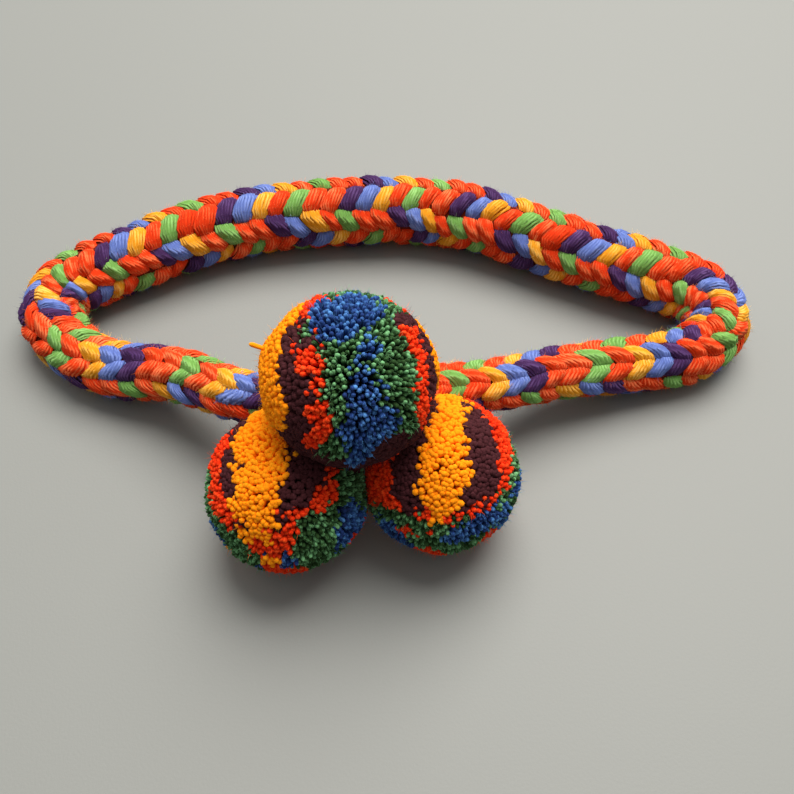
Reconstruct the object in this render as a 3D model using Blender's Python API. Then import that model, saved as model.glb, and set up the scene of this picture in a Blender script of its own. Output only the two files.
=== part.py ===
"""A plaited yarn ring with three pompoms, lying on a table.

Metres, +Z up. The origin is on the table, under the middle of the whole
thing; -Y is the side where the pompoms sit and +X runs along the ring's
longest way. All lengths in the tables are millimetres.
"""

import math
import random

import bmesh
import bpy
from mathutils import Vector

MM = 0.001

# Where the middle of the whole thing lies in the tables' own x and y.
MIDDLE_X = -0.78
MIDDLE_Y = 0.22

# Yarn that would hang less than this above the table is pressed level on it.
TABLE_PRESS = 1.6

# Driving sizes of the pompoms.
POMPOM_CORE_RADIUS = 19.5
LOCK_SHOULDER_DROP = 1.3
LOCK_SHOULDER_SHARE = 0.83
LOCK_TIP_SHARE = 0.52
LOCK_UNEVENNESS = 0.5
LOCKS_ACROSS_A_SIDE = 4
MIDDLE_TO_MIDDLE_GAP = 0.3
PLAIT_CLEARANCE = 0.35
PLAIT_SEARCH_STEP = 0.25
# The plait matters to a pompom up to this many radii from its middle.
PLAIT_SEARCH_SHARE = 1.2
# Insets only make new faces, whose corners are then put in place.
INSET = 0.5

# name, x, y, height of the middle above the table, radius, yarn colour
POMPOMS = (
    ("pompom_left", -33.4, -72.3, 28.9, 30.4, "ff9f0a"),
    ("pompom_right", 22.3, -65.9, 28.0, 29.5, "ff9f0a"),
    ("pompom_top", -9.4, -54.2, 72.0, 30.2, "2450a8"),
)

# Driving sizes of the plait. Its strands come up as slanting floats, in eight rows
# that run round the ring. Ways along a row are counted in floats.
SAMPLES_PER_FLOAT = 3
FLOATS_PER_REPEAT = 7
REPEATS = 12
FLOAT_LEAN = 0.6
RELIEF_DEPTH = 0.15
FLOAT_SIDE_HEIGHT = 0.36
ROW_EDGE_HEIGHT = 0.24
# A row's inner lines keep this share of its width clear of its edges, so that a
# float looks full.
ROW_EDGE_SHARE = 0.25

# row, first and last angle from the plait's outer side in degrees, way in which
# its floats lean, place of its purple float, lines along it
PLAIT_ROWS = (
    ("upper", 67, 109, 1, 0.5, 3),
    ("inner upper", 109, 151, -1, 5.5, 3),
    ("inner", 151, 193, 1, 2.5, 3),
    ("inner lower", 193, 240, -1, 3.5, 2),
    ("under, inner", 240, 288, 1, 6.5, 2),
    ("under, outer", 288, 337, -1, 1.5, 2),
    ("outer lower", 337, 385, 1, 3.5, 3),
    ("outer", 385, 427, -1, 0.5, 3),
)

# How far round the ring each purple float of the upper row lies.
REPEAT_STARTS = (-6, 58, 121, 169, 226, 285, 340, 397, 450, 495, 563, 617)

# The strands' colours in the order in which they come up.
FLOAT_COLOURS = ("purple", "blue", "yellow", "orange", "green", "orange", "orange")
YARN_COLOURS = {
    "purple": "43205a",
    "blue": "5673d2",
    "yellow": "ffb326",
    "orange": "ff5218",
    "green": "5da53f",
}

# The middle line of the plait, from the left of the join and round the ring.
# name, x, y, height, radius, roll of the rows in degrees
ROUTE = (
    ("left of the join", -49.6, -34.6, 33.2, 10.4, 6),
    ("left, coming down", -62.5, -28.6, 29.5, 10.9, 8),
    ("left, lower", -77.5, -19.2, 24.2, 11.6, 9),
    ("left, near the table", -94.1, -11.9, 18.5, 12.2, 10),
    ("left, on the table", -112.0, -7.0, 13.2, 12.8, 4),
    ("left bend, front", -131.0, 2.4, 12.5, 13.3, -16),
    ("left bend, middle", -146.3, 19.8, 13.2, 14.1, -34),
    ("left bend, back", -145.6, 36.0, 14.0, 14.8, -34),
    ("back left corner", -131.0, 48.2, 14.8, 15.6, -30),
    ("back left", -114.0, 57.7, 15.3, 16.2, -27),
    ("back, left third", -91.4, 69.7, 15.7, 16.6, -26),
    ("back, left of middle", -64.1, 79.4, 15.8, 16.7, -26),
    ("back, middle left", -34.3, 83.9, 15.8, 16.7, -26),
    ("back, middle", -5.6, 86.3, 15.8, 16.7, -26),
    ("back, middle right", 21.5, 85.5, 15.7, 16.6, -26),
    ("back, right of middle", 47.9, 78.6, 15.5, 16.4, -24),
    ("back, right third", 73.7, 65.9, 15.4, 16.3, -21),
    ("back right", 98.9, 53.8, 15.3, 16.2, -20),
    ("back right corner", 124.1, 43.1, 15.1, 16.0, -22),
    ("right bend, back", 140.7, 33.1, 14.7, 15.5, -36),
    ("right bend, middle", 146.3, 20.2, 13.8, 14.6, -48),
    ("right bend, front", 141.5, 7.8, 12.9, 13.7, -44),
    ("right, on the table", 127.8, -0.2, 12.3, 13.1, -18),
    ("right, near the table", 110.4, -4.7, 13.5, 12.6, -7),
    ("right, lower", 88.8, -9.9, 17.0, 12.1, -6),
    ("right, coming up", 68.7, -15.8, 21.4, 11.6, -7),
    ("right, higher", 47.9, -23.8, 26.4, 11.0, -8),
    ("right of the join", 26.0, -29.7, 31.4, 10.4, -4),
    ("join, right", 3.0, -33.3, 34.6, 10.1, 0),
    ("join, left", -22.0, -35.6, 35.4, 10.1, 2),
)
ROUTE_STEPS = 16


def linear_channel(value):
    """One sRGB channel as linear light."""
    if value <= 0.04045:
        return value / 12.92
    return ((value + 0.055) / 1.055) ** 2.4


def yarn_material(name, hex_colour):
    """Matt spun yarn."""
    channels = [int(hex_colour[i : i + 2], 16) / 255 for i in (0, 2, 4)]
    material = bpy.data.materials.new(name)
    material.use_nodes = True
    shader = material.node_tree.nodes["Principled BSDF"]
    shader.inputs["Base Color"].default_value = (*map(linear_channel, channels), 1)
    shader.inputs["Roughness"].default_value = 0.9
    shader.inputs["Metallic"].default_value = 0
    return material


def from_table(row):
    """The place that a table's row gives, measured from the middle of the whole thing."""
    _, x, y, height = row[:4]
    return Vector((x - MIDDLE_X, y - MIDDLE_Y, height)) * MM


def curve_through(values, index, share):
    """A smooth value between values[index] and the next one, round a closed list."""
    count = len(values)
    before, start, end, after = (values[(index + k) % count] for k in (-1, 0, 1, 2))
    return 0.5 * (
        2 * start
        + (end - before) * share
        + (2 * before - 5 * start + 4 * end - after) * share**2
        + (3 * start - before - 3 * end + after) * share**3
    )


def ring_line():
    """The middle line as close steps: place, radius and roll, with the way round to each."""
    places = [from_table(row) for row in ROUTE]
    radii = [row[4] * MM for row in ROUTE]
    rolls = [math.radians(row[5]) for row in ROUTE]
    steps = []
    travelled = 0.0
    for index in range(len(ROUTE)):
        for k in range(ROUTE_STEPS):
            share = k / ROUTE_STEPS
            place = curve_through(places, index, share)
            if steps:
                travelled += (place - steps[-1][1]).length
            radius = curve_through(radii, index, share)
            roll = curve_through(rolls, index, share)
            steps.append((travelled, place, radius, roll))
    total = travelled + (steps[0][1] - steps[-1][1]).length
    return steps, total


def at_distance(steps, total, distance):
    """Place, tangent, radius and roll at a distance round the ring."""
    distance %= total
    low = 0
    high = len(steps)
    while high - low > 1:
        middle = (low + high) // 2
        if steps[middle][0] <= distance:
            low = middle
        else:
            high = middle
    following = steps[(low + 1) % len(steps)]
    end = following[0] if low + 1 < len(steps) else total
    share = (distance - steps[low][0]) / (end - steps[low][0])
    place = steps[low][1].lerp(following[1], share)
    radius = steps[low][2] + (following[2] - steps[low][2]) * share
    roll = steps[low][3] + (following[3] - steps[low][3]) * share
    before = steps[low - 1][1]
    after = steps[(low + 2) % len(steps)][1]
    tangent = (following[1] - before).lerp(after - steps[low][1], share).normalized()
    return place, tangent, radius, roll


def distance_of_float(floats, total):
    """How far round the ring a place counted in floats lies."""
    repeat = (floats - 0.5) / FLOATS_PER_REPEAT
    index = math.floor(repeat)
    near = []
    for k in range(index - 1, index + 3):
        turns, start = divmod(k, REPEATS)
        near.append(REPEAT_STARTS[start] * MM + turns * total)
    return curve_through(near, 1, repeat - index)


def plait_lines():
    """Each line along the plait: angle, start, row's edge or not, floats past the purple."""
    lines = []
    for name, first, last, lean, purple, parts in PLAIT_ROWS:
        start = 1 - lean * FLOAT_LEAN / 2
        for part in range(parts):
            share = 0.5 if part else 0
            if part and parts > 2:
                inner_width = 1 - 2 * ROW_EDGE_SHARE
                share = ROW_EDGE_SHARE + inner_width * (part - 1) / (parts - 2)
            angle = math.radians(first + (last - first) * share)
            lines.append((angle, start + lean * FLOAT_LEAN * share, part == 0, 1 - purple))
    return lines


def plait_point(steps, total, angle, floats, height):
    """A point of the plait's surface, pressed level where it meets the table."""
    place, tangent, radius, roll = at_distance(steps, total, distance_of_float(floats, total))
    outward = Vector((0, 0, 1)).cross(tangent).normalized()
    upward = tangent.cross(outward)
    angle += roll
    reach = radius * (1 - RELIEF_DEPTH * (1 - height))
    point = place + (outward * math.cos(angle) + upward * math.sin(angle)) * reach
    if point.z < TABLE_PRESS * MM:
        point.z = 0.0
    return point


def make_plait(materials):
    """The ring: eight rows of slanting floats raised on one closed tube."""
    steps, total = ring_line()
    lines = plait_lines()
    per_line = SAMPLES_PER_FLOAT * FLOATS_PER_REPEAT * REPEATS
    mesh = bmesh.new()
    grid = []
    for angle, start, row_edge, _ in lines:
        row = []
        for k in range(per_line):
            between_floats = k % SAMPLES_PER_FLOAT == 0
            if row_edge:
                height = 0.0 if between_floats else ROW_EDGE_HEIGHT
            else:
                height = FLOAT_SIDE_HEIGHT if between_floats else 1.0
            floats = start + k / SAMPLES_PER_FLOAT
            row.append(mesh.verts.new(plait_point(steps, total, angle, floats, height)))
        grid.append(row)
    for index, row in enumerate(grid):
        following = grid[(index + 1) % len(grid)]
        past_purple = lines[index][3]
        for k in range(per_line):
            after = (k + 1) % per_line
            face = mesh.faces.new((row[k], row[after], following[after], following[k]))
            strand = round(past_purple + (k + 0.5) / SAMPLES_PER_FLOAT) % FLOATS_PER_REPEAT
            face.material_index = list(YARN_COLOURS).index(FLOAT_COLOURS[strand])
    bmesh.ops.recalc_face_normals(mesh, faces=mesh.faces)
    return add_object("plait", mesh, materials), steps


def lock_reach(middle, direction, neighbours, full, drop):
    """How far a lock may run from the pompom's middle before it meets something."""
    reach = full - drop
    down = -direction.z
    if down > 0 and middle.z - full * down < TABLE_PRESS * MM:
        reach = (middle.z - drop) / down
    for other in neighbours:
        way = other - middle
        facing = direction.dot(way.normalized())
        if facing > 0:
            reach = min(reach, (way.length - MIDDLE_TO_MIDDLE_GAP * MM) / 2 / facing)
    return reach


def plait_reach(middle, direction, steps, full):
    """How far a lock may run before it meets the plait."""
    reach = POMPOM_CORE_RADIUS * MM
    step = PLAIT_SEARCH_STEP * MM
    while reach < full:
        point = middle + direction * (reach + step)
        clear = min((point - place).length - radius for _, place, radius, _ in steps)
        if clear < PLAIT_CLEARANCE * MM:
            break
        reach += step
    return min(reach, full)


def make_pompom(name, middle, radius, neighbours, steps, material, seed):
    """A pompom: a solid heart whose whole face is cut into four-sided locks."""
    draw = random.Random(seed)
    far = radius * PLAIT_SEARCH_SHARE
    nearby = [step for step in steps if (step[1] - middle).length - step[2] < far]
    mesh = bmesh.new()
    bmesh.ops.create_cube(mesh, size=2)
    bmesh.ops.subdivide_edges(
        mesh, edges=mesh.edges, cuts=LOCKS_ACROSS_A_SIDE - 1, use_grid_fill=True
    )
    for vert in mesh.verts:
        flat = [math.tan(value * math.pi / 4) for value in vert.co]
        vert.co = middle + Vector(flat).normalized() * POMPOM_CORE_RADIUS * MM
    for face in list(mesh.faces):
        axis = (face.calc_center_median() - middle).normalized()
        full = radius + draw.uniform(-1, 1) * LOCK_UNEVENNESS * MM
        corners = [(vert.co - middle).normalized() for vert in face.verts]
        sides = [(a + b).normalized() for a, b in zip(corners, corners[1:] + corners[:1])]
        samples = [axis.lerp(way, LOCK_SHOULDER_SHARE).normalized() for way in corners + sides]
        full = min(plait_reach(middle, way, nearby, full) for way in samples + [axis])
        for share, drop in ((LOCK_SHOULDER_SHARE, LOCK_SHOULDER_DROP * MM), (LOCK_TIP_SHARE, 0)):
            bmesh.ops.inset_individual(mesh, faces=[face], thickness=INSET * MM)
            for vert, corner in zip(face.verts, corners):
                way = axis.lerp(corner, share).normalized()
                reach = lock_reach(middle, way, neighbours, full, drop)
                vert.co = middle + way * reach
    bmesh.ops.recalc_face_normals(mesh, faces=mesh.faces)
    return add_object(name, mesh, [material])


def add_object(name, mesh, materials):
    """Link a finished mesh as an object of that name."""
    data = bpy.data.meshes.new(name)
    mesh.to_mesh(data)
    mesh.free()
    for material in materials:
        data.materials.append(material)
    item = bpy.data.objects.new(name, data)
    bpy.context.scene.collection.objects.link(item)
    return item


def main():
    for item in list(bpy.data.objects):
        bpy.data.objects.remove(item)
    yarns = [yarn_material(f"{name} yarn", value) for name, value in YARN_COLOURS.items()]
    plait, steps = make_plait(yarns)
    middles = [from_table(row) for row in POMPOMS]
    for index, (name, _, _, _, radius, colour) in enumerate(POMPOMS):
        others = middles[:index] + middles[index + 1 :]
        material = yarn_material(f"{name} yarn", colour)
        make_pompom(name, middles[index], radius * MM, others, steps, material, index)


main()
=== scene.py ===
import math

import bpy
import numpy as np
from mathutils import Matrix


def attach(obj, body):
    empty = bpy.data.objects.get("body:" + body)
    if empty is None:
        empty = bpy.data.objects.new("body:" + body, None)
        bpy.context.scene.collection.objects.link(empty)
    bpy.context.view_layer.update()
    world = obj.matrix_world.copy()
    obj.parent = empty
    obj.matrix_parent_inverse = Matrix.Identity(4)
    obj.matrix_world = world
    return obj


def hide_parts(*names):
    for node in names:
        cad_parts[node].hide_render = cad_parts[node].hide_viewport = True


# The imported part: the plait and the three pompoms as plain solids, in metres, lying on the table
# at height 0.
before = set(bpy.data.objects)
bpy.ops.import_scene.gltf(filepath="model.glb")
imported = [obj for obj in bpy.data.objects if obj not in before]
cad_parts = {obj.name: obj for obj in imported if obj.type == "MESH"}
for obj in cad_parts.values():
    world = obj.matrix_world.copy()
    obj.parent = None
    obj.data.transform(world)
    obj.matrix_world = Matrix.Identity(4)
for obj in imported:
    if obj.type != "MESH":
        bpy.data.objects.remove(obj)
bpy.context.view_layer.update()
MM = 0.001

# The camera stands close over the front of the ring and looks down at it, as a phone held
# by hand does. Its place is in metres and its angles are in degrees, and its lens comes
# from the photograph's width in pixels.
CAMERA_PLACE = (0.0091, -0.2162, 0.300)
CAMERA_TILT = 34.17
CAMERA_LEAN = 0.45
PHOTO_WIDTH = 794
FOCAL_LENGTH_IN_PIXELS = 834.5
SENSOR_WIDTH = 36
bpy.ops.object.select_all(action="DESELECT")
bpy.ops.object.camera_add(
    location=CAMERA_PLACE, rotation=(math.radians(CAMERA_TILT), math.radians(CAMERA_LEAN), 0)
)
camera = bpy.context.object
camera.data.sensor_width = SENSOR_WIDTH
camera.data.lens = SENSOR_WIDTH * FOCAL_LENGTH_IN_PIXELS / PHOTO_WIDTH
bpy.context.scene.camera = camera

# The floor is one plain sheet of steel, powder-coated in a matt pale grey. It lies level
# under the ring and is four metres wide, so that its edges are far off.
TABLE_GREY = "7f817e"
TABLE_SIZE = 4
GRAINS_IN_A_METRE = 900
bpy.ops.mesh.primitive_plane_add(size=TABLE_SIZE)
table = bpy.context.object
table.name = "table_top"


def linear(hex_colour):
    """An sRGB hex colour as linear light."""
    channels = [int(hex_colour[i : i + 2], 16) / 255 for i in (0, 2, 4)]
    light = [c / 12.92 if c <= 0.04045 else ((c + 0.055) / 1.055) ** 2.4 for c in channels]
    return (*light, 1)


def add_node(tree, kind, sockets=(), **settings):
    """A shader node with its settings; each socket takes a value or another node's output."""
    node = tree.nodes.new(kind)
    for name, value in settings.items():
        setattr(node, name, value)
    for name, value in dict(sockets).items():
        if isinstance(value, bpy.types.NodeSocket):
            tree.links.new(value, node.inputs[name])
        else:
            node.inputs[name].default_value = value
    return node


# Powder coat: baked paint with a very fine grain, which shows only as a soft gloss.
powder_coat = bpy.data.materials.new("pale powder coat")
powder_coat.use_nodes = True
tree = powder_coat.node_tree
place = add_node(tree, "ShaderNodeTexCoord")
grain = add_node(
    tree,
    "ShaderNodeTexNoise",
    {"Vector": place.outputs["Object"], "Scale": GRAINS_IN_A_METRE, "Detail": 2},
)
bump = add_node(
    tree, "ShaderNodeBump", {"Height": grain.outputs["Fac"], "Strength": 0.05, "Distance": MM}
)
shader = tree.nodes["Principled BSDF"]
shader.inputs["Base Color"].default_value = linear(TABLE_GREY)
shader.inputs["Roughness"].default_value = 0.6
tree.links.new(bump.outputs["Normal"], shader.inputs["Normal"])
table.data.materials.append(powder_coat)

# The light: a plain overcast room, brightest high up at the back and dim at the camera's
# side, and most of the light from one large soft window above and behind the ring, whose
# place and width are in metres.
ROOM_WHITE = "f2f1ee"
BRIGHTEST_WAY = (0, 0.6, 0.8)
# The room is at its dimmest where a way leans this much, or more, away from the brightest.
DIM_FROM = -0.3
DIMMEST = 0.1
BRIGHTEST = 0.95
room = bpy.data.worlds.new("overcast room")
room.use_nodes = True
tree = room.node_tree
place = add_node(tree, "ShaderNodeTexCoord")
toward_back = add_node(
    tree,
    "ShaderNodeVectorMath",
    {0: place.outputs["Generated"], 1: BRIGHTEST_WAY},
    operation="DOT_PRODUCT",
)
light = add_node(
    tree,
    "ShaderNodeMapRange",
    {
        "Value": toward_back.outputs["Value"],
        "From Min": DIM_FROM,
        "To Min": DIMMEST,
        "To Max": BRIGHTEST,
    },
)
tree.nodes["Background"].inputs["Color"].default_value = linear(ROOM_WHITE)
tree.links.new(light.outputs["Result"], tree.nodes["Background"].inputs["Strength"])
bpy.context.scene.world = room
bpy.context.scene.view_settings.view_transform = "Standard"

WINDOW_PLACE = (0.4, 0.95, 2.05)
WINDOW_WATTS = 98
WINDOW_WIDTH = 2.1
WINDOW_WHITE = "fffbf5"
bpy.ops.object.light_add(type="AREA", location=WINDOW_PLACE)
window = bpy.context.object
window.name = "window"
window.data.shape = "DISK"
window.data.size = WINDOW_WIDTH
window.data.energy = WINDOW_WATTS
window.data.color = linear(WINDOW_WHITE)[:3]
# A lamp looks down its own -Z, so it is tilted from straight down towards the ring.
window.rotation_euler = (
    -math.atan2(math.hypot(*WINDOW_PLACE[:2]), WINDOW_PLACE[2]),
    0,
    -math.atan2(WINDOW_PLACE[0], WINDOW_PLACE[1]),
)

# The plait is a thick round braid of sixteen strands on a closed ring, its two ends sewn
# together behind the pompoms. Each strand is a bundle of plied acrylic yarns: it comes
# up as a plump slanting float, dives under the next row and comes up again further on.
# All its sizes are millimetres, and these two are taken from every x and y.
MIDDLE_X = -0.78
MIDDLE_Y = 0.22
# The middle line, from the left of the join and round the ring.
# x, y, height, radius, roll of the rows in degrees
ROUTE = (
    (-49.6, -34.6, 33.2, 10.4, 6),
    (-62.5, -28.6, 29.5, 10.9, 8),
    (-77.5, -19.2, 24.2, 11.6, 9),
    (-94.1, -11.9, 18.5, 12.2, 10),
    (-112.0, -7.0, 13.2, 12.8, 4),
    (-131.0, 2.4, 12.5, 13.3, -16),
    (-146.3, 19.8, 13.2, 14.1, -34),
    (-145.6, 36.0, 14.0, 14.8, -34),
    (-131.0, 48.2, 14.8, 15.6, -30),
    (-114.0, 57.7, 15.3, 16.2, -27),
    (-91.4, 69.7, 15.7, 16.6, -26),
    (-64.1, 79.4, 15.8, 16.7, -26),
    (-34.3, 83.9, 15.8, 16.7, -26),
    (-5.6, 86.3, 15.8, 16.7, -26),
    (21.5, 85.5, 15.7, 16.6, -26),
    (47.9, 78.6, 15.5, 16.4, -24),
    (73.7, 65.9, 15.4, 16.3, -21),
    (98.9, 53.8, 15.3, 16.2, -20),
    (124.1, 43.1, 15.1, 16.0, -22),
    (140.7, 33.1, 14.7, 15.5, -36),
    (146.3, 20.2, 13.8, 14.6, -48),
    (141.5, 7.8, 12.9, 13.7, -44),
    (127.8, -0.2, 12.3, 13.1, -18),
    (110.4, -4.7, 13.5, 12.6, -7),
    (88.8, -9.9, 17.0, 12.1, -6),
    (68.7, -15.8, 21.4, 11.6, -7),
    (47.9, -23.8, 26.4, 11.0, -8),
    (26.0, -29.7, 31.4, 10.4, -4),
    (3.0, -33.3, 34.6, 10.1, 0),
    (-22.0, -35.6, 35.4, 10.1, 2),
)
STEPS_BETWEEN_STATIONS = 16
# How far round the ring the purple float of the upper row lies, repeat after repeat.
REPEAT_STARTS = (-6, 58, 121, 169, 226, 285, 340, 397, 450, 495, 563, 617)
# The strands' colours in the order in which they come up.
STRANDS = ("purple", "blue", "yellow", "orange", "green", "orange", "orange")
FLOATS_ROUND_THE_RING = len(STRANDS) * len(REPEAT_STARTS)
# row: first and last angle from the plait's outer side, way in which its floats lean,
# place of its purple float, counted in floats
ROWS = {
    "upper": (67, 109, 1, 0.5),
    "inner upper": (109, 160, -1, 5.5),
    "inner": (160, 202, 1, 2.5),
    "inner lower": (202, 245, -1, 3.5),
    "under, inner": (245, 291, 1, 6.5),
    "under, outer": (291, 337, -1, 1.5),
    "outer lower": (337, 385, 1, 3.5),
    "outer": (385, 427, -1, 0.5),
}
# The middle of the first float that is made, in the count of floats round the ring.
FIRST_FLOAT = 1.5
# How many floats further on than the other rows a row lies, at every half repeat: the
# braid slipped round itself a little where it was bent.
ROW_SHIFTS = {
    "upper": (
        0, -0.3, 0.1, 0.6, 0.1, -1.0, -0.1, 0, 0, 0, 0, 0,
        0, 0, 0, 0, 0, -0.4, 0, 0, 0, 0, 0, 0,
    ),
    "inner upper": (
        1.2, 1.35, 1.5, 1.2, 0.1, -0.1, 0.5, 0.55, 0.8, 0.8, 0.75, 0.6,
        0.65, 0.65, 0.65, 0.75, 0.9, 0.3, 0.45, 0.7, 0.5, 0.6, 0.8, 1.0,
    ),
    "inner": (
        0, 0, -0.2, -0.6, -1.0, -1.0, -0.4, -0.5, -0.35, -0.3, -0.4, -0.2,
        -0.35, -0.1, -0.35, -0.5, -0.7, -0.3, 0, 0, 0, 0, 0, 0,
    ),
}
SHIFT_EVERY = len(STRANDS) / 2
# A float leans this many floats from one side of its row to the other, swings this much
# about that line, and goes on under the rows beside it for this share of its row's width.
FLOAT_LEAN = 0.6
FLOAT_SWING = 0.09
TUCK = 0.2
# Half a float's width at its middle and at the edge of its row, in floats. The higher the
# power, the nearer to its tips it narrows. Its outer yarns lie this far out across it.
FLOAT_HALF_WIDTH = 0.6
TIP_HALF_WIDTH = 0.4
NARROWING_POWER = 2.5
OUTER_YARN = 0.82
YARNS_IN_A_FLOAT = 7
YARN_THICKNESS = 2.45
YARN_FLATTENING = 0.39
YARN_TAPER = 0.12
# How much lower than its middle a float lies, as shares of the plait's radius: at the edge
# of its row, where it is tucked under, and at its sides, which lie flatter at the tips.
MEAN_RADIUS = 15
TIP_DROP = 0.1
DROP_POWER = 2.2
TUCK_DROP = 0.17
SIDE_DROP = 0.165
FLATTER_AT_THE_TIPS = 0.5
# How unevenly the floats were pulled up: their width, their place along the row in floats
# and across it in degrees, and their height as a share of the plait's radius.
UNEVEN_WIDTH = 0.1
UNEVEN_PLACE = 0.06
UNEVEN_ANGLE = 3.5
UNEVEN_HEIGHT = 0.018
# And how unevenly their yarns lie: side by side, across one another, high, and thick.
YARN_WANDER = 0.025
YARN_CROSSING = 0.03
YARN_UNEVEN_HEIGHT = 0.004
YARN_UNEVEN_THICKNESS = 0.05
# How high the yarn under the ring is spread when it is pressed on the table.
PRESS = 0.8
YARN_SIDES = 6
YARN_STEPS = 6


def curve_through(rows, where):
    """Smooth values at places counted in rows, round a closed list of rows."""
    index = np.floor(where).astype(int)
    share = (where - index)[..., None]
    before, start, end, after = (rows[(index + k) % len(rows)] for k in (-1, 0, 1, 2))
    return 0.5 * (
        2 * start
        + (end - before) * share
        + (2 * before - 5 * start + 4 * end - after) * share**2
        + (3 * start - before - 3 * end + after) * share**3
    )


def unit(vectors):
    """The vectors at length 1."""
    return vectors / np.linalg.norm(vectors, axis=-1, keepdims=True)


route = np.array(ROUTE, float) - (MIDDLE_X, MIDDLE_Y, 0, 0, 0)
stations = np.arange(len(ROUTE) * STEPS_BETWEEN_STATIONS) / STEPS_BETWEEN_STATIONS
steps = curve_through(route, stations)
line = steps[:, :3]
travelled = np.linalg.norm(np.roll(line, -1, axis=0) - line, axis=1).cumsum()
ring_length = travelled[-1]
travelled = np.append(0, travelled)
tangents = unit(np.roll(line, -1, axis=0) - np.roll(line, 1, axis=0))
along_ring = np.hstack((steps, tangents))
along_ring = np.vstack((along_ring, along_ring[:1]))


def distance_of_float(floats):
    """How far round the ring a place counted in floats lies, in millimetres."""
    repeat = (floats - 0.5) / len(STRANDS)
    even = ring_length / len(REPEAT_STARTS)
    uneven = np.array(REPEAT_STARTS, float) - even * np.arange(len(REPEAT_STARTS))
    return curve_through(uneven[:, None], repeat)[..., 0] + even * repeat


def on_plait(floats, angle, reach):
    """Points of the plait and the way out of it, at shares of its radius."""
    distance = distance_of_float(floats) % ring_length
    at = np.stack([np.interp(distance, travelled, column) for column in along_ring.T], -1)
    tangent = unit(at[..., 5:])
    outward = unit(np.cross((0, 0, 1), tangent))
    upward = np.cross(tangent, outward)
    turn = (angle + np.radians(at[..., 4]))[..., None]
    way_out = outward * np.cos(turn) + upward * np.sin(turn)
    return at[..., :3] + way_out * (at[..., 3] * reach)[..., None], way_out


# One length of yarn: a closed tube, standing on end, with a ring of corners at each step.
bpy.ops.object.select_all(action="DESELECT")
bpy.ops.mesh.primitive_cylinder_add(vertices=YARN_SIDES, radius=1, depth=1, location=(0, 0, 0.5))
yarn_length = bpy.context.object
bpy.ops.object.transform_apply(location=True)
for edge in yarn_length.data.edges:
    low, high = (yarn_length.data.vertices[v].co.z for v in edge.vertices)
    edge.select = abs(high - low) > 0.5
for thing in (*yarn_length.data.polygons, *yarn_length.data.vertices):
    thing.select = False
bpy.context.tool_settings.mesh_select_mode = (False, True, False)
bpy.ops.object.mode_set(mode="EDIT")
bpy.ops.mesh.subdivide(number_cuts=YARN_STEPS - 1)
bpy.ops.object.mode_set(mode="OBJECT")


def shape_of(model):
    """The corners, faces and UV of a modelled shape, and its object taken away."""
    data = model.data
    corners = np.array([v.co for v in data.vertices])
    faces = [tuple(p.vertices) for p in data.polygons]
    spread = np.array([loop.uv for loop in data.uv_layers.active.data])
    bpy.data.objects.remove(model)
    return corners, faces, spread


def copies(name, shape, places, tints, kinds, materials):
    """A piece of many copies of a shape: its corners' places, a tint and a material each."""
    count, corners = places.shape[:2]
    faces = [
        tuple(corner + k * corners for corner in face) for k in range(count) for face in shape[1]
    ]
    data = bpy.data.meshes.new(name)
    data.from_pydata((places.reshape(-1, 3) * MM).tolist(), [], faces)
    for material in materials:
        data.materials.append(material)
    data.polygons.foreach_set("material_index", np.repeat(kinds, len(shape[1])))
    data.polygons.foreach_set("use_smooth", np.ones(len(faces), bool))
    spread = data.uv_layers.new(name="UVMap")
    spread.data.foreach_set("uv", np.tile(shape[2], (count, 1)).ravel())
    tint = data.attributes.new("tint", "FLOAT", "POINT")
    tint.data.foreach_set("value", tints.ravel())
    data.update()
    piece = bpy.data.objects.new(name, data)
    bpy.context.scene.collection.objects.link(piece)
    return piece


draw = np.random.default_rng(7)
yarn_shape = shape_of(yarn_length)
no_shifts = (0,) * 2 * len(REPEAT_STARTS)
yarns = []
for row, (first, last, lean, purple) in ROWS.items():
    shifts = np.array(ROW_SHIFTS.get(row, no_shifts))[:, None]
    for count in range(FLOATS_ROUND_THE_RING):
        number = FIRST_FLOAT + count
        strand = int(number - purple) % len(STRANDS)
        number += curve_through(shifts, np.array(number / SHIFT_EVERY))[0]
        for side in np.linspace(-1, 1, YARNS_IN_A_FLOAT):
            yarns.append((first, last, lean, number, strand, side))
yarns = np.array(yarns)
first, last, lean, number, strand, side = yarns.T[:, :, None]
floats_in_all = len(yarns) // YARNS_IN_A_FLOAT


def per_float(spread):
    """A random number for each float, the same for all its yarns."""
    return np.repeat(draw.normal(0, spread, floats_in_all), YARNS_IN_A_FLOAT)[:, None]


def per_yarn(spread):
    """A random number for each yarn."""
    return draw.normal(0, spread, (len(yarns), 1))


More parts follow.
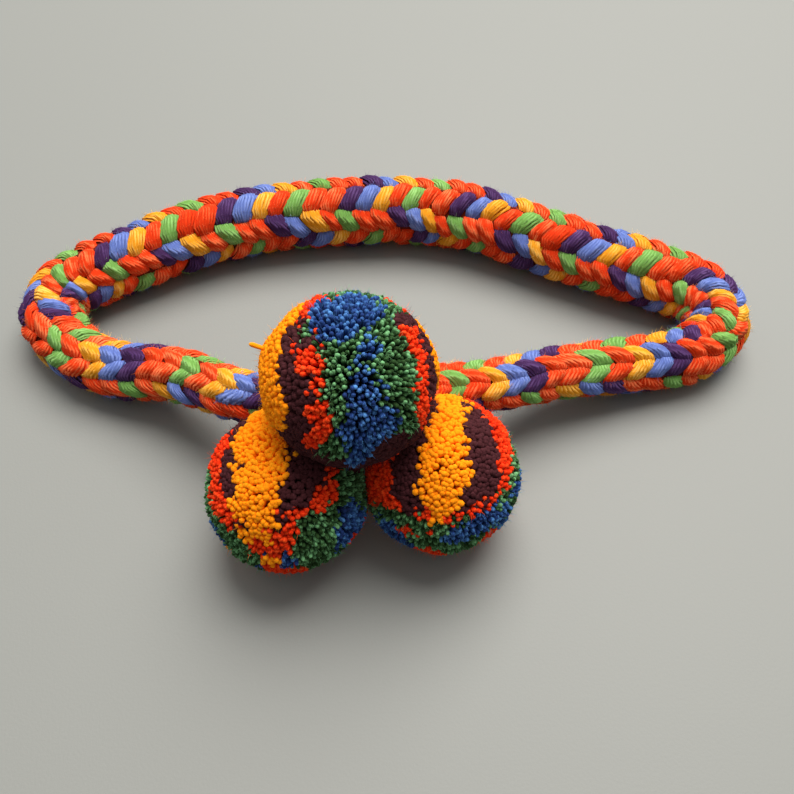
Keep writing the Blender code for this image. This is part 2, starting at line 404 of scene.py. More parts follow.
across = np.linspace(-TUCK, 1 + TUCK, YARN_STEPS + 1)[None, :]
from_middle = np.abs(2 * across - 1)
narrowing = from_middle**NARROWING_POWER
half_width = FLOAT_HALF_WIDTH + (TIP_HALF_WIDTH - FLOAT_HALF_WIDTH) * narrowing
half_width = half_width * (1 + per_float(UNEVEN_WIDTH))
yarn_side = side * OUTER_YARN + per_yarn(YARN_WANDER) + per_yarn(YARN_CROSSING) * (across - 0.5)
slant = FLOAT_LEAN * (across - 0.5) + FLOAT_SWING * np.sin(math.tau * (across - 0.5))
floats = number + lean * slant + per_float(UNEVEN_PLACE) + half_width * yarn_side
angle = np.radians(first + (last - first) * across + per_float(UNEVEN_ANGLE))
beyond = np.clip(from_middle - 1, 0, None) / (2 * TUCK)
reach = (
    1.0
    - 0.5 * YARN_THICKNESS * YARN_FLATTENING / MEAN_RADIUS
    - TIP_DROP * np.clip(from_middle, 0, 1) ** DROP_POWER
    - TUCK_DROP * beyond
    - SIDE_DROP * yarn_side**2 * (1 - FLATTER_AT_THE_TIPS * np.clip(narrowing, 0, 1))
    + per_float(UNEVEN_HEIGHT)
    + per_yarn(YARN_UNEVEN_HEIGHT)
)
middles, way_out = on_plait(floats, angle, reach)
ahead = np.gradient(middles, axis=1)
sideways = unit(np.cross(way_out, ahead))
way_out = unit(np.cross(ahead, sideways))
corner_step = np.rint(yarn_shape[0][:, 2] * YARN_STEPS).astype(int)
corner_side, corner_up = yarn_shape[0][:, 0:1], yarn_shape[0][:, 1:2]
thickness = YARN_THICKNESS / 2 * (1 - YARN_TAPER * narrowing)
thickness = thickness * (1 + per_yarn(YARN_UNEVEN_THICKNESS))
yarn_points = middles[:, corner_step] + thickness[:, corner_step, None] * (
    corner_side * sideways[:, corner_step]
    + corner_up * YARN_FLATTENING * way_out[:, corner_step]
)
heights = yarn_points[..., 2]
yarn_points[..., 2] = PRESS * np.logaddexp(0, heights / PRESS)

# Plied acrylic yarn: spun from crimped fibre, soft and matt with a faint light fuzz, and with the
# twist of its plies as fine slanting lines, in bump and in painted shade and highlight.
# colour of the shaded side as painted shade, of the yarn, and of its lit fuzz as painted highlight
PLAIT_YARNS = {
    "purple": ("2e1428", "3e2450", "6c5082"),
    "blue": ("48528a", "5a6eb0", "8ea0dc"),
    "yellow": ("b4660c", "de921c", "ffd070"),
    "orange": ("a81c06", "da380c", "ff925c"),
    "green": ("507032", "6c9c4c", "9ecc80"),
}
# How light the yarn was dyed, and how much floats and single yarns differ in it.
MEAN_TINT = 0.35
UNEVEN_FLOAT_TINT = 0.04
UNEVEN_YARN_TINT = 0.025
PLIES = 3
TURNS_IN_A_FLOAT = 5
# A Wave Texture on the diagonal has one wave in this much of its x or y.
WAVE = math.tau / 10
# Where the three colours of a yarn lie between its darkest and its lightest tone, and how
# deep its plies and fibres are, in millimetres.
TONE_PLACES = (0.08, 0.62, 1.0)
FIBRE_RELIEF = 0.25


def yarn_material(name, colours, twist, streaks, twist_share, contrast, sheen):
    """Spun yarn in three tones, painted shade, its own colour and painted highlight, with its
    twist and its fibres as tone and as bump.

    The twist and the streaks of the fibre are counted round and along one length of yarn.
    """
    material = bpy.data.materials.new(name)
    material.use_nodes = True
    tree = material.node_tree
    spread = add_node(tree, "ShaderNodeUVMap", uv_map="UVMap")
    tint = add_node(tree, "ShaderNodeAttribute", attribute_name="tint")
    turned = add_node(
        tree, "ShaderNodeMapping", {"Vector": spread.outputs["UV"], "Scale": (*twist, 1)}
    )
    plies = add_node(
        tree,
        "ShaderNodeTexWave",
        {"Vector": turned.outputs["Vector"], "Scale": 1.0, "Distortion": 0.8, "Detail": 1},
        bands_direction="DIAGONAL",
    )
    fine = add_node(
        tree, "ShaderNodeMapping", {"Vector": spread.outputs["UV"], "Scale": (*streaks, 1)}
    )
    fibres = add_node(
        tree, "ShaderNodeTexNoise", {"Vector": fine.outputs["Vector"], "Scale": 1, "Detail": 3}
    )
    relief = add_node(
        tree,
        "ShaderNodeMath",
        {0: plies.outputs["Fac"], 1: twist_share, 2: fibres.outputs["Fac"]},
        operation="MULTIPLY_ADD",
    )
    tone = add_node(
        tree,
        "ShaderNodeMath",
        {0: relief.outputs[0], 1: contrast, 2: tint.outputs["Fac"]},
        operation="MULTIPLY_ADD",
    )
    ramp = add_node(tree, "ShaderNodeValToRGB", {"Fac": tone.outputs[0]})
    stops = ramp.color_ramp.elements
    stops.new(0.5)
    for stop, place, colour in zip(stops, TONE_PLACES, colours):
        stop.position = place
        stop.color = linear(colour)
    bump = add_node(
        tree,
        "ShaderNodeBump",
        {"Height": relief.outputs[0], "Strength": 0.5, "Distance": FIBRE_RELIEF * MM},
    )
    shader = tree.nodes["Principled BSDF"]
    tree.links.new(ramp.outputs["Color"], shader.inputs["Base Color"])
    tree.links.new(bump.outputs["Normal"], shader.inputs["Normal"])
    shader.inputs["Roughness"].default_value = 0.9
    shader.inputs["Specular IOR Level"].default_value = 0.12
    shader.inputs["Sheen Weight"].default_value = sheen
    shader.inputs["Sheen Roughness"].default_value = 0.4
    shader.inputs["Sheen Tint"].default_value = linear(colours[2])
    return material


tint = np.clip(MEAN_TINT + per_float(UNEVEN_FLOAT_TINT) + per_yarn(UNEVEN_YARN_TINT), 0, 1)
yarn_colours = np.array([list(PLAIT_YARNS).index(STRANDS[int(s)]) for s in strand[:, 0]])
plait_materials = [
    yarn_material(
        f"{colour} acrylic yarn",
        tones,
        twist=(WAVE * PLIES, WAVE * TURNS_IN_A_FLOAT),
        streaks=(9, 30),
        twist_share=1,
        contrast=0.27,
        sheen=0.2,
    )
    for colour, tones in PLAIT_YARNS.items()
]
for kind, (colour, material) in enumerate(zip(PLAIT_YARNS, plait_materials)):
    chosen = yarn_colours == kind
    places = yarn_points[chosen]
    piece = copies(
        f"plait_{colour}",
        yarn_shape,
        places,
        np.repeat(tint[chosen], places.shape[1], axis=1),
        np.zeros(len(places), int),
        [material],
    )
    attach(piece, "root")
    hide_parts("plait")

# The plait's heart: the strands that run inside it, out of sight but for the dark between the
# floats. It is the same yarn, coloured darker as painted shade.
HEART_SHARE = 0.81
HEART_RIDGES = 0.02
HEART_SIDES = 20
HEART_STEPS = 200
bpy.ops.object.select_all(action="DESELECT")
bpy.ops.mesh.primitive_torus_add(
    major_segments=HEART_STEPS, minor_segments=HEART_SIDES, major_radius=1, minor_radius=0.5
)
heart = bpy.context.object
heart.name = "plait_heart"
shape = np.array([v.co for v in heart.data.vertices])
round_ring = np.arctan2(shape[:, 1], shape[:, 0]) / math.tau
round_plait = np.arctan2(shape[:, 2], np.hypot(shape[:, 0], shape[:, 1]) - 1)
reach = HEART_SHARE + HEART_RIDGES * np.sin(round_plait * len(ROWS))
places, _ = on_plait(round_ring * FLOATS_ROUND_THE_RING, round_plait, reach)
places[:, 2] = PRESS * np.logaddexp(0, places[:, 2] / PRESS)
heart.data.vertices.foreach_set("co", (places * MM).ravel())
bpy.ops.object.mode_set(mode="EDIT")
bpy.ops.mesh.select_all(action="SELECT")
bpy.ops.mesh.normals_make_consistent(inside=False)
bpy.ops.object.mode_set(mode="OBJECT")
bpy.ops.object.shade_smooth()
# The same acrylic yarn deep in the plait, its colours darkened as painted shade, since no light of
# its own reaches it.
shadow_yarn = yarn_material(
    "yarn in shadow",
    ("4a1408", "902c10", "b04420"),
    twist=(60, 300),
    streaks=(90, 900),
    twist_share=0.6,
    contrast=0.27,
    sheen=0,
)
heart.data.materials.append(shadow_yarn)
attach(heart, "root")
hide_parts("plait")

# The fuzz: ends of the crimped fibre that worked loose from the spun yarn and stand off it
# as a soft halo. They are drawn a few times too thick, so that they show at all.
LOOSE_FIBRES = 25000
FIBRE_LENGTH = 2.7
# The shortest and the longest fibre as shares of that, and how much the fibres lean.
FIBRE_LENGTHS = (0.4, 1.4)
FIBRE_LEAN = 0.6
FIBRE_THICKNESS = 0.15
# The fibres' tone, lifted toward the yarn's lit colour: a painted highlight for the halo.
FIBRE_PAINTED_LIGHT = 0.75
# No fibre or yarn end reaches nearer to the table than this.
ABOVE_TABLE = 0.15
# A way that no fibre or yarn end has, from which the ways across them are found.
ODD_WAY = (0.31, 0.52, 0.79)
bpy.ops.object.select_all(action="DESELECT")
bpy.ops.mesh.primitive_cone_add(vertices=3, radius1=1, radius2=0, depth=1, location=(0, 0, 0.5))
fibre = bpy.context.object
bpy.ops.object.transform_apply(location=True)
fibre_shape = shape_of(fibre)


def loose_fibres(name, roots, outward, kinds, materials):
    """A piece of short fibres that stand off the yarn at their roots."""
    count = len(roots)
    stands = unit(outward + draw.normal(0, FIBRE_LEAN, (count, 3)))
    across_fibre = unit(np.cross(stands, ODD_WAY))
    other_side = np.cross(stands, across_fibre)
    length = FIBRE_LENGTH * draw.uniform(*FIBRE_LENGTHS, (count, 1, 1))
    corner_x, corner_y, corner_z = fibre_shape[0].T[:, None, :, None]
    places = (
        roots[:, None]
        + length * stands[:, None] * corner_z
        + FIBRE_THICKNESS / 2 * (across_fibre[:, None] * corner_x + other_side[:, None] * corner_y)
    )
    places[..., 2] = np.maximum(places[..., 2], ABOVE_TABLE)
    tints = np.full(places.shape[:2], FIBRE_PAINTED_LIGHT)
    return copies(name, fibre_shape, places, tints, kinds, materials)


carriers = draw.integers(0, len(yarns), LOOSE_FIBRES)
at_step = draw.integers(1, YARN_STEPS, LOOSE_FIBRES)
fuzz = loose_fibres(
    "plait_fuzz",
    middles[carriers, at_step],
    way_out[carriers, at_step],
    yarn_colours[carriers],
    plait_materials,
)
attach(fuzz, "root")
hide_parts("plait")

# The pompoms: balls of thick soft acrylic yarn, wound in patches of five colours, tied
# round the middle and cut. Each is 4,600 yarn ends that stand out from the tie, trimmed
# round, and pressed flat only where they meet the table, the plait or one another.
# x, y, height of the middle, radius, in the same millimetres as the plait
POMPOMS = {
    "pompom_left": (-33.4, -72.3, 28.9, 30.4),
    "pompom_right": (22.3, -65.9, 28.0, 29.5),
    "pompom_top": (-9.4, -54.2, 72.0, 30.2),
}
# Where each colour comes out of a pompom, as the camera sees it: the middle of the patch
# right of and above the pompom's middle, and how wide it is, as shares of its radius.
# P aubergine, Y yellow, R orange-red, G green, B blue
PATCHES = {
    "pompom_top": (
        ("Y", -0.64, 0.74, 0.10), ("Y", -0.78, 0.55, 0.14), ("Y", -0.86, 0.30, 0.15),
        ("Y", -0.88, 0.06, 0.16), ("Y", -0.84, -0.17, 0.16), ("Y", -0.74, -0.40, 0.13),
        ("P", -0.61, 0.58, 0.08), ("P", -0.66, 0.42, 0.09), ("P", -0.48, 0.36, 0.08),
        ("P", -0.66, 0.15, 0.09), ("P", -0.62, -0.04, 0.12), ("P", -0.48, -0.10, 0.12),
        ("P", -0.56, -0.28, 0.14), ("P", -0.57, -0.48, 0.15), ("P", -0.60, -0.68, 0.15),
        ("R", -0.44, 0.17, 0.11), ("R", -0.36, 0.10, 0.10), ("R", -0.33, -0.02, 0.08),
        ("R", -0.38, -0.28, 0.11), ("R", -0.34, -0.42, 0.13), ("R", -0.28, -0.50, 0.08),
        ("R", -0.40, -0.64, 0.08), ("R", -0.52, 0.67, 0.08), ("R", -0.36, 0.42, 0.04),
        ("R", -0.57, 0.32, 0.04), ("R", -0.45, 0.83, 0.08), ("R", -0.29, 0.90, 0.05),
        ("G", -0.49, 0.49, 0.08), ("G", -0.21, 0.94, 0.05), ("G", -0.20, 0.30, 0.14),
        ("G", -0.05, 0.24, 0.13), ("G", -0.17, 0.05, 0.13), ("G", -0.16, -0.18, 0.12),
        ("G", -0.12, -0.40, 0.09), ("G", -0.16, -0.72, 0.14), ("G", 0.10, 0.46, 0.07),
        ("B", -0.25, 0.74, 0.16), ("B", -0.02, 0.80, 0.24), ("B", 0.22, 0.72, 0.18),
        ("B", -0.22, 0.52, 0.14), ("B", -0.03, 0.58, 0.14), ("B", -0.42, 0.58, 0.07),
        ("B", 0.19, 0.36, 0.07), ("B", 0.12, 0.10, 0.09), ("B", 0.14, -0.06, 0.13),
        ("B", 0.12, -0.24, 0.17), ("B", 0.22, -0.42, 0.20), ("B", 0.10, -0.62, 0.17),
        ("B", 0.12, -0.84, 0.10), ("B", 0.42, -0.44, 0.12), ("B", 0.46, -0.14, 0.05),
        ("G", 0.38, 0.55, 0.13), ("G", 0.50, 0.36, 0.15), ("G", 0.60, 0.20, 0.14),
        ("G", 0.42, 0.14, 0.14), ("G", 0.62, 0.00, 0.12), ("G", 0.52, -0.18, 0.13),
        ("G", 0.64, -0.34, 0.10), ("G", 0.66, -0.50, 0.08), ("G", 0.28, 0.97, 0.08),
        ("G", 0.50, 0.82, 0.09), ("G", 0.42, 0.72, 0.06), ("P", 0.60, 0.64, 0.08),
        ("R", 0.66, 0.48, 0.10), ("R", 0.72, 0.38, 0.08), ("R", 0.78, 0.14, 0.08),
        ("R", 0.82, 0.00, 0.08), ("R", 0.74, -0.08, 0.06), ("R", 0.80, -0.28, 0.09),
        ("R", 0.84, -0.44, 0.07), ("R", 0.66, 0.80, 0.06), ("R", 0.44, 0.90, 0.03),
        ("P", 0.72, 0.68, 0.08), ("P", 0.82, 0.50, 0.09), ("P", 0.88, 0.34, 0.09),
        ("P", 0.88, 0.12, 0.07), ("P", 0.92, -0.12, 0.08), ("P", 0.90, -0.36, 0.09),
        ("P", 0.72, -0.62, 0.14), ("P", 0.45, -0.76, 0.17), ("P", 0.30, -0.92, 0.14),
        ("Y", 0.90, 0.58, 0.05), ("Y", 0.97, 0.22, 0.06), ("P", -0.40, -0.88, 0.16),
    ),
    "pompom_left": (
        ("Y", -0.33, 0.72, 0.20), ("Y", -0.25, 0.50, 0.24), ("Y", -0.20, 0.26, 0.22),
        ("Y", -0.38, 0.08, 0.24), ("Y", -0.42, -0.12, 0.22), ("Y", -0.32, -0.32, 0.17),
        ("Y", -0.48, -0.55, 0.04), ("Y", -0.26, -0.58, 0.03), ("Y", -0.10, 0.94, 0.12),
        ("Y", -0.55, 0.44, 0.08), ("Y", -0.60, 0.16, 0.06), ("Y", -0.20, -0.82, 0.03),
        ("P", -0.66, 0.70, 0.11), ("P", -0.70, 0.30, 0.12), ("P", -0.70, 0.02, 0.08),
        ("P", -0.16, 0.88, 0.06), ("P", 0.06, 0.80, 0.14), ("P", 0.16, 0.60, 0.18),
        ("P", 0.18, 0.36, 0.20), ("P", 0.12, 0.14, 0.17), ("P", 0.10, -0.08, 0.14),
        ("P", -0.10, -0.41, 0.06), ("P", 0.36, 0.14, 0.10), ("P", 0.34, 0.62, 0.12),
        ("R", 0.50, 0.34, 0.12), ("R", 0.56, 0.20, 0.09), ("R", 0.48, 0.00, 0.10),
        ("R", 0.38, -0.12, 0.08), ("R", 0.18, -0.24, 0.06), ("R", 0.06, -0.29, 0.06),
        ("R", -0.02, -0.38, 0.06), ("R", -0.04, -0.55, 0.12), ("R", -0.08, -0.68, 0.08),
        ("R", -0.74, 0.60, 0.07), ("R", -0.86, 0.32, 0.10), ("R", -0.88, 0.10, 0.10),
        ("R", -0.82, -0.12, 0.12), ("R", -0.71, -0.32, 0.10), ("R", -0.36, -0.66, 0.07),
        ("R", -0.18, -0.90, 0.07), ("R", -0.20, -0.50, 0.05), ("R", 0.05, -0.98, 0.10),
        ("G", -0.97, 0.04, 0.06), ("G", -0.92, -0.26, 0.09), ("G", -0.82, -0.44, 0.11),
        ("G", -0.62, -0.62, 0.13), ("G", -0.45, -0.80, 0.12), ("G", 0.28, -0.42, 0.14),
        ("G", 0.22, -0.62, 0.18), ("G", 0.44, -0.62, 0.17), ("G", 0.32, -0.86, 0.15),
        ("G", 0.50, -0.30, 0.13), ("G", 0.64, 0.06, 0.11), ("G", 0.62, -0.14, 0.10),
        ("B", 0.76, -0.34, 0.18), ("B", 0.66, -0.52, 0.15), ("B", -0.04, -0.80, 0.05),
        ("B", -0.33, -0.87, 0.05), ("B", -0.90, -0.42, 0.04), ("G", 0.66, -0.76, 0.12),
        ("R", 0.90, -0.66, 0.06), ("Y", 0.08, 0.39, 0.03), ("Y", 0.04, 0.15, 0.04),
        ("P", 0.72, 0.46, 0.14), ("P", -0.52, -0.42, 0.05), ("G", 0.86, -0.02, 0.12),
    ),
    "pompom_right": (
        ("Y", 0.12, 0.90, 0.15), ("Y", 0.12, 0.70, 0.15), ("Y", 0.08, 0.50, 0.17),
        ("Y", 0.02, 0.28, 0.22), ("Y", 0.02, 0.06, 0.25), ("Y", -0.02, -0.14, 0.20),
        ("Y", -0.06, -0.32, 0.13), ("Y", 0.24, 0.02, 0.09), ("Y", -0.06, -0.48, 0.07),
        ("Y", 0.12, -0.38, 0.08), ("Y", -0.16, -0.30, 0.06), ("Y", -0.06, -0.56, 0.03),
        ("P", -0.22, 0.84, 0.14), ("P", -0.28, 0.62, 0.16), ("P", -0.42, 0.38, 0.18),
        ("P", -0.40, 0.14, 0.14), ("P", -0.46, -0.10, 0.15), ("P", -0.38, -0.30, 0.13),
        ("P", 0.46, 0.70, 0.12), ("P", 0.50, 0.48, 0.13), ("P", 0.52, 0.26, 0.14),
        ("P", 0.58, 0.02, 0.15), ("P", 0.48, -0.22, 0.15), ("P", 0.28, -0.38, 0.07),
        ("P", -0.20, -0.44, 0.05), ("P", 0.30, 0.88, 0.05),
        ("R", -0.72, 0.04, 0.12), ("R", -0.80, -0.08, 0.13), ("R", -0.66, -0.12, 0.11),
        ("R", -0.70, -0.28, 0.12), ("R", 0.46, 0.94, 0.09), ("R", 0.60, 0.82, 0.09),
        ("R", 0.72, 0.64, 0.12), ("R", 0.80, 0.42, 0.11), ("R", 0.84, 0.26, 0.08),
        ("R", 0.78, 0.00, 0.07), ("R", 0.78, -0.20, 0.05), ("R", 0.43, -0.32, 0.04),
        ("R", 0.59, -0.32, 0.04), ("R", 0.50, -0.43, 0.05), ("R", 0.30, -0.53, 0.05),
        ("R", 0.42, -0.46, 0.04), ("R", 0.12, -0.53, 0.04), ("R", -0.18, -0.46, 0.06),
        ("R", -0.16, -0.56, 0.05), ("R", -0.41, -0.71, 0.05), ("R", -0.16, -0.71, 0.05),
        ("R", -0.48, -0.42, 0.05), ("R", -0.18, -0.96, 0.06), ("R", 0.56, -0.78, 0.03),
        ("G", 0.95, 0.42, 0.06), ("G", 0.92, 0.14, 0.08), ("G", 0.86, -0.12, 0.08),
        ("G", 0.74, -0.34, 0.08), ("G", 0.88, -0.34, 0.07), ("B", 0.92, -0.20, 0.06),
        ("B", 0.74, -0.50, 0.14), ("B", 0.46, -0.62, 0.15), ("B", 0.56, -0.46, 0.08),
        ("B", 0.26, -0.74, 0.11), ("B", -0.50, -0.82, 0.10), ("G", 0.28, -0.56, 0.07),
        ("G", -0.64, -0.50, 0.13), ("G", -0.44, -0.58, 0.13), ("G", -0.26, -0.66, 0.11),
        ("G", -0.06, -0.68, 0.11), ("G", -0.30, -0.84, 0.11), ("G", -0.08, -0.86, 0.13),
        ("G", 0.16, -0.92, 0.11), ("G", 0.36, -0.86, 0.10), ("G", 0.48, -0.76, 0.06),
        ("B", 0.06, -0.78, 0.07), ("G", 0.62, -0.66, 0.06), ("B", -0.60, -0.66, 0.07),
    ),
}
# The sides that the camera doesn't see were wound in the same way, a band of each colour:
# where the bands' middles lie on the far half, in the same shares.
FAR_PATCHES = (
    ("Y", 0.60, 0.10, 0.30), ("P", 0.30, 0.20, 0.20), ("B", -0.05, 0.10, 0.30),
    ("G", -0.42, 0.25, 0.26), ("R", -0.70, 0.05, 0.24), ("P", -0.80, 0.45, 0.18),
    ("Y", -0.35, 0.65, 0.24), ("R", 0.10, 0.62, 0.20), ("G", 0.48, 0.62, 0.22),
    ("B", 0.75, 0.50, 0.18), ("R", 0.72, -0.35, 0.20), ("G", 0.25, -0.35, 0.26),
    ("B", -0.35, -0.35, 0.26), ("Y", -0.62, -0.55, 0.22), ("P", 0.00, -0.70, 0.26),
    ("R", 0.45, -0.72, 0.18), ("P", -0.15, 0.90, 0.16), ("G", -0.88, -0.20, 0.14),
)
YARN_ENDS = 4600
# The radius of the tied middle, where the ends begin, and how far its packed yarns swell.
HEART_RADIUS = 19
TIED_SWELL = 0.8
# Half an end's thickness by colour, and how unevenly thick the ends are.
END_RADIUS = {"P": 1.2, "Y": 1.13, "R": 0.95, "G": 0.8, "B": 0.8}
UNEVEN_END_RADIUS = 0.07
# How unevenly the ends stand round the ball, and how far their tips lean aside.
UNEVEN_STANCE = 0.007
END_LEAN = 0.45
# The ball was trimmed a little proud of its round: how unevenly and how much lower than
# that each colour was cut, and how differently its ends take the light.
PROUD = 0.3
TRIMMING = {"P": 0.35, "Y": 0.3, "R": 0.55, "G": 0.85, "B": 0.8}
TRIMMED_LOW = {"P": 0.7, "Y": 0.1, "R": 0.2, "G": 0.2, "B": 0.0}
TONE_SPREAD = {"P": 0.04, "Y": 0.06, "R": 0.08, "G": 0.2, "B": 0.18}
# The tone of an end's stem, darkened as painted shade, how much lighter its tip is as painted
# light, and where the tip begins.
STEM_PAINTED_SHADE = -0.2
TIP_PAINTED_LIGHT = 0.45
TIP_BEGINS = 0.7
# Room between the ends and the table, another pompom and the plait. An end that meets the
# plait anywhere between these shares of its length is cut back step by step.
TABLE_GAP = 0.3
POMPOM_GAP = 0.3
PLAIT_GAP = 0.4
CUT_BACK = 0.3
CUT_FROM, CUT_TO, CUT_STEPS = 1, 0.6, 24
# An end that faces away from the table or a pompom counts as facing it by only this much,
# so it is never stopped there.
HARDLY_FACING = 1e-6
# How far a few ends stray over the edge of their patch. The edges wander this much, and
# the trimmed face has hollows this deep, both in soft waves.
STRAY_ENDS = 0.085
EDGE_WANDER, WANDER_WAVES = 0.035, 20
HOLLOWS, HOLLOW_WAVES = 0.65, 6
# A yellow end that the shears missed: right of and above the middle, how far it stands
# out, and its share of the others' thickness.
MISSED_ENDS = {"pompom_top": (-0.92, 0.34, 4.5, 0.7)}
FIBRES_ON_A_POMPOM = 2200
FIBRE_ROOT_DEPTH = 0.4

# One yarn end: a stem that widens to a soft round tip, as shares of its radius and length.
END_SIDES = 6
STEM_RADIUS = 0.6
STEM_LENGTH = 0.925
TIP_RADIUS = 0.7
SHOULDER_LENGTH = 0.05
CROWN_LENGTH = 0.025
bpy.ops.object.select_all(action="DESELECT")
bpy.ops.mesh.primitive_cone_add(
    vertices=END_SIDES,
    radius1=STEM_RADIUS,
    radius2=1,
    depth=STEM_LENGTH,
    location=(0, 0, STEM_LENGTH / 2),
)
yarn_end = bpy.context.object
bpy.ops.object.transform_apply(location=True)
top = max(yarn_end.data.polygons, key=lambda face: face.center.z)
for thing in (*yarn_end.data.polygons, *yarn_end.data.edges, *yarn_end.data.vertices):
    thing.select = False
top.select = True
bpy.context.tool_settings.mesh_select_mode = (False, False, True)
bpy.ops.object.mode_set(mode="EDIT")
bpy.ops.mesh.extrude_region_move(TRANSFORM_OT_translate={"value": (0, 0, SHOULDER_LENGTH)})
bpy.ops.transform.resize(value=(TIP_RADIUS, TIP_RADIUS, 1))
bpy.ops.mesh.poke(offset=CROWN_LENGTH)
bpy.ops.object.mode_set(mode="OBJECT")
end_shape = shape_of(yarn_end)

# Thick soft-spun acrylic, cut across: the open fibres at the end catch more light than the stem,
# which goes dark between its neighbours; both are painted, the stem colour as painted shade and
# the lit fibres as painted highlight. The yellow has the most sheen.
# name, colour of the stem as painted shade, of the end, and of its lit fibres as painted
# highlight, sheen
POMPOM_YARNS = {
    "P": ("aubergine", ("280e0e", "3e1a1e", "4e282e"), 0.2),
    "Y": ("yellow", ("f06a00", "ff9006", "ffa816"), 0.5),
    "R": ("orange-red", ("8a0a02", "e42c04", "ff5c24"), 0.2),
    "G": ("green", ("1c2a14", "305029", "72ac76"), 0.2),
    "B": ("blue", ("161e40", "223e7c", "5288c6"), 0.2),
}
pompom_materials = [
    yarn_material(
        f"{name} cut yarn",
        tones,
        twist=(WAVE * PLIES, WAVE),
        streaks=(18, 14),
        twist_share=0.3,
        contrast=0.7,
        sheen=sheen,
    )
    for name, tones, sheen in POMPOM_YARNS.values()
]
letters = list(POMPOM_YARNS)
camera_right = np.array(camera.matrix_basis.to_3x3())[:, 0]
pompom_middles = {
    name: np.array((x - MIDDLE_X, y - MIDDLE_Y, height))
    for name, (x, y, height, _) in POMPOMS.items()
}
golden_turn = math.pi * (3 - math.sqrt(5))


def way_in_view(view, x, y, side=1):
    """The way out of a pompom at a place in the camera's view of it, near or far side."""
    across_view, up_view, seen_from = view
    deep = side * math.sqrt(max(0, 1 - x * x - y * y))
    return unit(across_view * x + up_view * y + seen_from * deep)


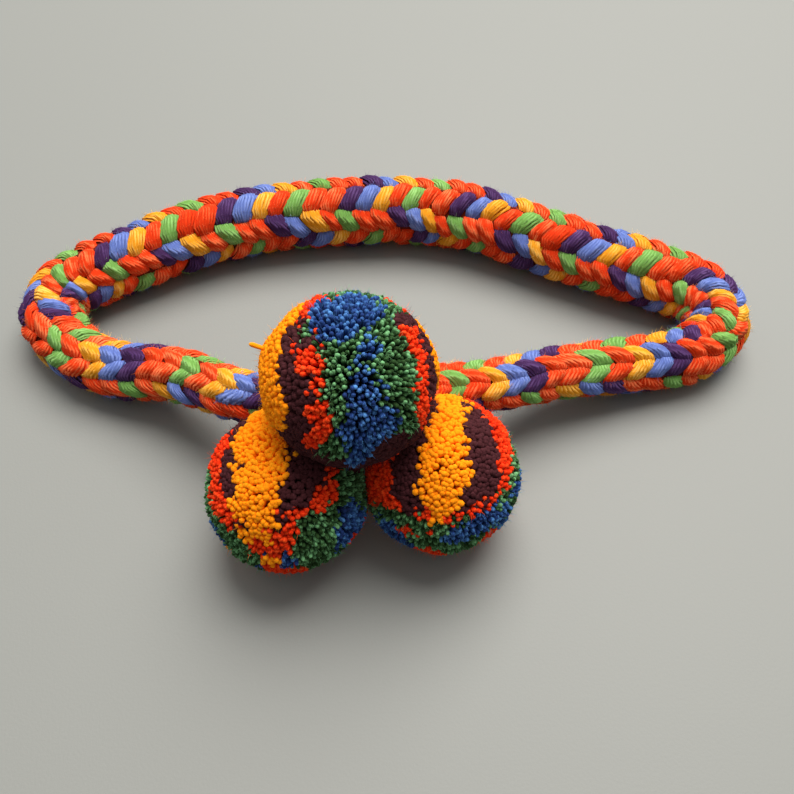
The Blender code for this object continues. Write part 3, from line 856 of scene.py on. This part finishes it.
for name, middle in pompom_middles.items():
    radius = POMPOMS[name][3]
    seen_from = unit(np.array(camera.location) / MM - middle)
    across_view = unit(camera_right - seen_from * (camera_right @ seen_from))
    view = (across_view, np.cross(seen_from, across_view), seen_from)

    # The ends stand evenly round, each a little out of its place.
    count = np.arange(YARN_ENDS)
    height = 1 - 2 * (count + 0.5) / YARN_ENDS
    flat = np.sqrt(1 - height**2)
    turn = golden_turn * count
    ways = np.stack((flat * np.cos(turn), flat * np.sin(turn), height), 1)
    ways = unit(ways + draw.normal(0, UNEVEN_STANCE, ways.shape))

    # The nearest patch gives the colour, and a few ends stray into the next one.
    patch_ways, patch_sizes, patch_letters = [], [], []
    for patches, side in ((PATCHES[name], 1), (FAR_PATCHES, -1)):
        for letter, x, y, size in patches:
            patch_ways.append(way_in_view(view, x, y, side))
            patch_sizes.append(size)
            patch_letters.append(letters.index(letter))
    wander = EDGE_WANDER * np.sin(ways @ draw.normal(0, WANDER_WAVES, (3, 3)))
    apart = np.linalg.norm((ways + wander)[:, None] - np.array(patch_ways)[None], axis=2)
    apart = apart - np.array(patch_sizes) + draw.normal(0, STRAY_ENDS / 3, apart.shape)
    kinds = np.array(patch_letters)[np.argmin(apart, axis=1)]

    # How far each end may stand out before it meets the table, a pompom or the plait.
    trimming, trimmed_low, thick, tone_spread = (
        np.array([table[letter] for letter in letters])[kinds]
        for table in (TRIMMING, TRIMMED_LOW, END_RADIUS, TONE_SPREAD)
    )
    reach = radius + PROUD - trimmed_low - np.abs(draw.normal(0, trimming))
    reach = reach + HOLLOWS * np.sin(ways @ draw.normal(0, HOLLOW_WAVES, (3, 3))).mean(axis=1)
    down = np.clip(-ways[:, 2], HARDLY_FACING, None)
    reach = np.minimum(reach, (middle[2] - TABLE_GAP) / down)
    for other in pompom_middles.values():
        between = other - middle
        distance = np.linalg.norm(between)
        if distance > 0:
            facing = np.clip(ways @ (between / distance), HARDLY_FACING, None)
            reach = np.minimum(reach, (distance - POMPOM_GAP) / 2 / facing)
    for share in np.linspace(CUT_FROM, CUT_TO, CUT_STEPS):
        points = middle + ways * (reach * share)[:, None]
        clear = np.linalg.norm(points[:, None] - line[None], axis=2) - steps[:, 3]
        meets = clear.min(axis=1) < PLAIT_GAP
        free = np.where(meets, reach * share - CUT_BACK, reach)
        reach = np.where(meets & (reach * share > CUT_TO * radius), free, reach)

    if name in MISSED_ENDS:
        x, y, stands_out, thinner = MISSED_ENDS[name]
        longest = np.argmax(ways @ way_in_view(view, x, y))
        reach[longest] += stands_out
        thick[longest] *= thinner
        kinds[longest] = letters.index("Y")

    # Each end is turned about its own way, leans a little and keeps off the table.
    across_end = unit(np.cross(ways, ODD_WAY))
    other_side = np.cross(ways, across_end)
    spin = draw.uniform(0, math.tau, YARN_ENDS)[:, None, None]
    corner_x, corner_y, corner_z = end_shape[0].T[:, None, :, None]
    spun_x = corner_x * np.cos(spin) - corner_y * np.sin(spin)
    spun_y = corner_x * np.sin(spin) + corner_y * np.cos(spin)
    thick = thick * (1 + draw.normal(0, UNEVEN_END_RADIUS, YARN_ENDS))
    out = HEART_RADIUS + (reach - HEART_RADIUS)[:, None, None] * corner_z
    lean_away = draw.normal(0, END_LEAN, (2, YARN_ENDS, 1, 1)) * corner_z**2
    places = (
        middle
        + ways[:, None] * out
        + across_end[:, None] * (spun_x * thick[:, None, None] + lean_away[0])
        + other_side[:, None] * (spun_y * thick[:, None, None] + lean_away[1])
    )
    places[..., 2] = np.maximum(places[..., 2], ABOVE_TABLE)
    tip = np.clip((end_shape[0][:, 2] - TIP_BEGINS) / (1 - TIP_BEGINS), 0, 1)
    # Painted shade on the stems and painted light on the tips, plus each end's own random tone.
    tints = TIP_PAINTED_LIGHT * tip + STEM_PAINTED_SHADE + draw.normal(0, tone_spread)[:, None]
    piece = copies(name + "_yarn", end_shape, places, tints, kinds, pompom_materials)
    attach(piece, "root")
    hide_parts(name)

    carriers = draw.integers(0, YARN_ENDS, FIBRES_ON_A_POMPOM)
    roots = middle + ways[carriers] * (reach[carriers] - FIBRE_ROOT_DEPTH)[:, None]
    fuzz = loose_fibres(name + "_fuzz", roots, ways[carriers], kinds[carriers], pompom_materials)
    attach(fuzz, "root")
    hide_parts(name)

    # The tied middle, where the yarns are packed hard together, coloured as the yarn in shadow:
    # painted shade seen in the gaps between the ends.
    bpy.ops.object.select_all(action="DESELECT")
    bpy.ops.mesh.primitive_ico_sphere_add(
        subdivisions=3, radius=(HEART_RADIUS + TIED_SWELL) * MM, location=middle * MM
    )
    tied = bpy.context.object
    bpy.ops.object.transform_apply(location=True)
    bpy.ops.object.shade_smooth()
    tied.name = name + "_heart"
    tied.data.materials.append(shadow_yarn)
    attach(tied, "root")
    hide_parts(name)
